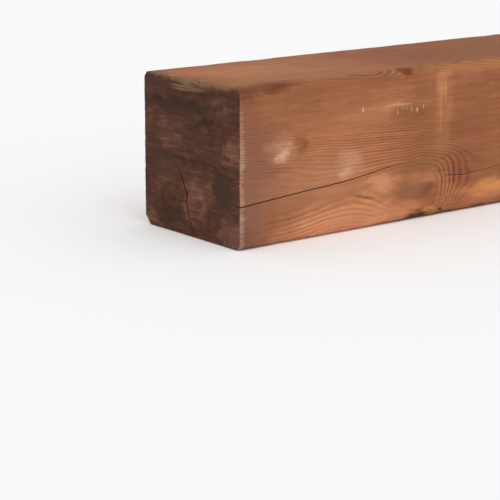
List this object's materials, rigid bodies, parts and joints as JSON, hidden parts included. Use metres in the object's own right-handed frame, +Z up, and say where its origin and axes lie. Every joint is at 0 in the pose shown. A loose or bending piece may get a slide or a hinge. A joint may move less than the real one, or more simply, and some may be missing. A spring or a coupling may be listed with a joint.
{
  "type": "impregnated pine post",
  "caption": "Square planed softwood post, brown pressure impregnated, with eased arrises, sawn ends and drying checks.",
  "frame": {"origin": "under the middle of the post, on the floor it lies on", "axes": "+X along the grain away from the checked end, -Y out of the front face, +Z up"},
  "size_m": [2.4, 0.145, 0.145],
  "materials": {
    "impregnated_pine": "planed, matt"
  },
  "bodies": {
    "root": {"post": "impregnated_pine"}
  },
  "joints": []
}
